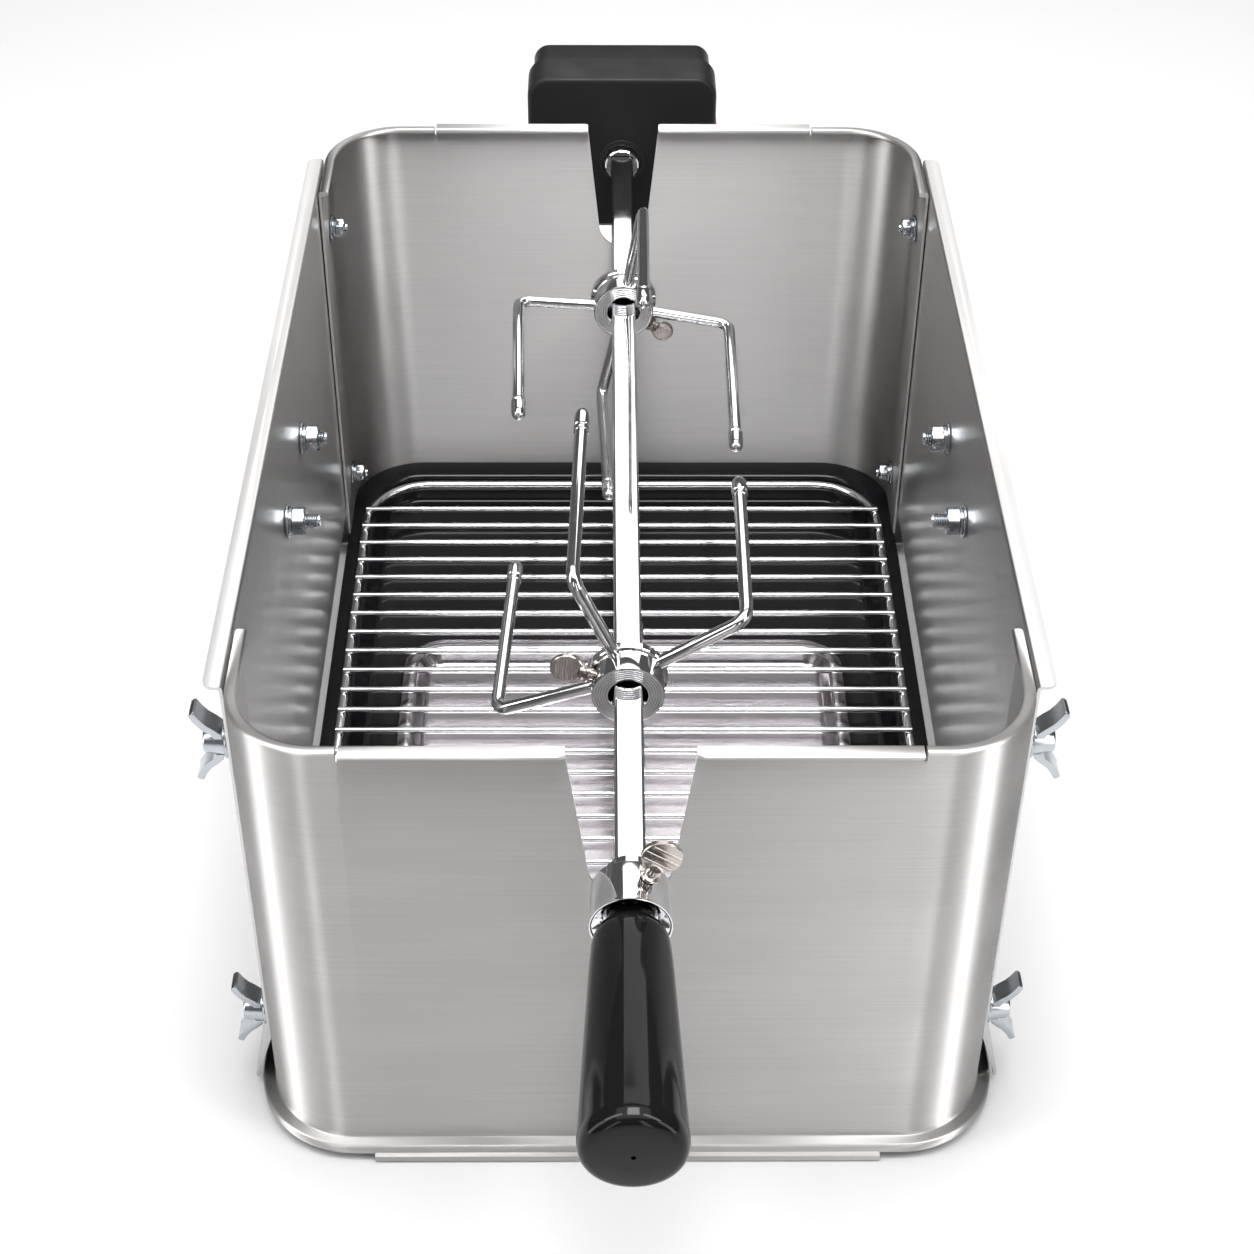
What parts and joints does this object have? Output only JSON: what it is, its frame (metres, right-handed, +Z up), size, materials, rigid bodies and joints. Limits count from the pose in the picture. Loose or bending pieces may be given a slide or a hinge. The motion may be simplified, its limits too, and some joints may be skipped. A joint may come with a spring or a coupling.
{
  "type": "rotisserie oven",
  "caption": "Open-topped stainless charcoal roaster box with fire basin, grate, battery-driven square spit and two sliding meat forks.",
  "frame": {"origin": "on the table, under the middle of the box, in the plane the basin stands on", "axes": "+X to the right as seen from the handle end, +Y along the spit from the handle towards the motor, +Z up"},
  "size_m": [0.2816, 0.622, 0.1974],
  "materials": {
    "stainless": "fine horizontal brushing",
    "chrome": "bright plated steel",
    "zinc": "bright zinc plating",
    "nickel": "warm nickel plating",
    "black_enamel": "gloss vitreous enamel",
    "handle_black": "gloss phenolic",
    "motor_black": "fine matte",
    "switch_red": "satin",
    "gear_nylon": "natural nylon",
    "bronze": "sintered",
    "cell_wrap": "plastic-wrapped metal can"
  },
  "bodies": {
    "box": {"front_panel": "stainless", "rear_panel": "stainless", "left_side_panel": "stainless", "right_side_panel": "stainless", "fire_basin": "black_enamel", "front_bolt_left_lower": "zinc", "rear_bolt_left_lower": "zinc", "rear_nut_left_lower": "zinc", "front_bolt_left_upper": "zinc", "rear_bolt_left_upper": "zinc", "rear_nut_left_upper": "zinc", "handle_bolt_left_front": "zinc", "handle_nut_left_front": "zinc", "handle_bolt_left_back": "zinc", "handle_nut_left_back": "zinc", "left_handle_plate": "zinc", "bracket_screw_left": "zinc", "front_bolt_right_lower": "zinc", "rear_bolt_right_lower": "zinc", "rear_nut_right_lower": "zinc", "front_bolt_right_upper": "zinc", "rear_bolt_right_upper": "zinc", "rear_nut_right_upper": "zinc", "handle_bolt_right_front": "zinc", "handle_nut_right_front": "zinc", "handle_bolt_right_back": "zinc", "handle_nut_right_back": "zinc", "right_handle_plate": "zinc", "bracket_screw_right": "zinc", "motor_front_shell": "motor_black", "motor_rear_shell": "motor_black", "motor_bracket": "stainless", "output_bushing": "bronze", "gear_plate": "zinc", "drive_motor": "zinc", "battery_cell_front": "cell_wrap", "battery_cell_rear": "cell_wrap"},
    "spit": {"spit_rod": "chrome", "ferrule": "chrome", "handle": "handle_black", "output_gear": "chrome"},
    "rear_fork": {"rear_fork": "chrome"},
    "front_fork": {"front_fork": "chrome"},
    "rear_fork_screw": {"rear_fork_screw": "nickel"},
    "front_fork_screw": {"front_fork_screw": "nickel"},
    "ferrule_screw": {"ferrule_screw": "nickel"},
    "grill_grate": {"grill_grate": "chrome"},
    "drip_tray": {"drip_tray": "stainless"},
    "left_bail": {"left_bail": "zinc"},
    "right_bail": {"right_bail": "zinc"},
    "reduction_gear_second": {"reduction_gear_second": "gear_nylon"},
    "reduction_gear_first": {"reduction_gear_first": "gear_nylon"},
    "motor_pinion": {"motor_pinion": "bronze"},
    "battery_door": {"battery_door": "motor_black"},
    "power_switch": {"power_switch": "switch_red"},
    "wing_nut_left_lower": {"wing_nut_left_lower": "zinc"},
    "wing_nut_left_upper": {"wing_nut_left_upper": "zinc"},
    "wing_nut_right_lower": {"wing_nut_right_lower": "zinc"},
    "wing_nut_right_upper": {"wing_nut_right_upper": "zinc"}
  },
  "joints": [
    {"name": "spit_turn", "type": "hinge", "parent": "box", "child": "spit", "pos_m": [0, 0, 0.139], "axis": [0, 1, 0], "continuous": true},
    {"name": "rear_fork_slide", "type": "slide", "parent": "spit", "child": "rear_fork", "axis": [0, 1, 0], "range_m": [-0.055, 0.03]},
    {"name": "front_fork_slide", "type": "slide", "parent": "spit", "child": "front_fork", "axis": [0, 1, 0], "range_m": [-0.03, 0.055]},
    {"name": "rear_fork_screw_turn", "type": "hinge", "parent": "rear_fork", "child": "rear_fork_screw", "pos_m": [0.01166, 0.1394, 0.12989], "axis": [0.788, 0, -0.6157], "continuous": true},
    {"name": "front_fork_screw_turn", "type": "hinge", "parent": "front_fork", "child": "front_fork_screw", "pos_m": [-0.01391, -0.1086, 0.14406], "axis": [-0.9397, 0, 0.342], "continuous": true},
    {"name": "ferrule_screw_turn", "type": "hinge", "parent": "spit", "child": "ferrule_screw", "pos_m": [0.00602, -0.2138, 0.15252], "axis": [0.4067, 0, 0.9135], "continuous": true},
    {"name": "wing_nut_left_lower_turn", "type": "hinge", "parent": "box", "child": "wing_nut_left_lower", "pos_m": [-0.1333, -0.163, 0.0325], "axis": [1, 0, 0], "continuous": true},
    {"name": "wing_nut_left_upper_turn", "type": "hinge", "parent": "box", "child": "wing_nut_left_upper", "pos_m": [-0.1333, -0.163, 0.163], "axis": [1, 0, 0], "continuous": true},
    {"name": "wing_nut_right_lower_turn", "type": "hinge", "parent": "box", "child": "wing_nut_right_lower", "pos_m": [0.1333, -0.163, 0.0325], "axis": [1, 0, 0], "continuous": true},
    {"name": "wing_nut_right_upper_turn", "type": "hinge", "parent": "box", "child": "wing_nut_right_upper", "pos_m": [0.1333, -0.163, 0.163], "axis": [1, 0, 0], "continuous": true},
    {"name": "grate_lift", "type": "slide", "parent": "box", "child": "grill_grate", "axis": [0, 0, 1], "range_m": [0, 0.055]},
    {"name": "tray_slide", "type": "slide", "parent": "box", "child": "drip_tray", "axis": [0, 1, 0], "range_m": [0, 0.1]},
    {"name": "left_bail_swing", "type": "hinge", "parent": "box", "child": "left_bail", "pos_m": [-0.1343, 0.007, 0.132], "axis": [0, 1, 0], "range_deg": [0, 90]},
    {"name": "right_bail_swing", "type": "hinge", "parent": "box", "child": "right_bail", "pos_m": [0.1343, 0.007, 0.132], "axis": [0, 1, 0], "range_deg": [-90, 0]},
    {"name": "second_gear_turn", "type": "hinge", "parent": "box", "child": "reduction_gear_second", "pos_m": [0.01741, 0, 0.12895], "axis": [0, 1, 0], "continuous": true},
    {"name": "first_gear_turn", "type": "hinge", "parent": "box", "child": "reduction_gear_first", "pos_m": [0.02346, 0, 0.11847], "axis": [0, 1, 0], "continuous": true},
    {"name": "pinion_turn", "type": "hinge", "parent": "box", "child": "motor_pinion", "pos_m": [0.01336, 0, 0.11847], "axis": [0, 1, 0], "continuous": true},
    {"name": "battery_door_slide", "type": "slide", "parent": "box", "child": "battery_door", "axis": [0, 1, 0], "range_m": [0, 0.03]},
    {"name": "power_switch_rock", "type": "hinge", "parent": "box", "child": "power_switch", "pos_m": [0.043, 0.277, 0.147], "axis": [0, 1, 0], "range_deg": [0, 6]}
  ],
  "couplings": [
    {"joint": "second_gear_turn", "follows": "spit_turn", "ratio": -4},
    {"joint": "first_gear_turn", "follows": "spit_turn", "ratio": 12},
    {"joint": "pinion_turn", "follows": "spit_turn", "ratio": -36}
  ]
}
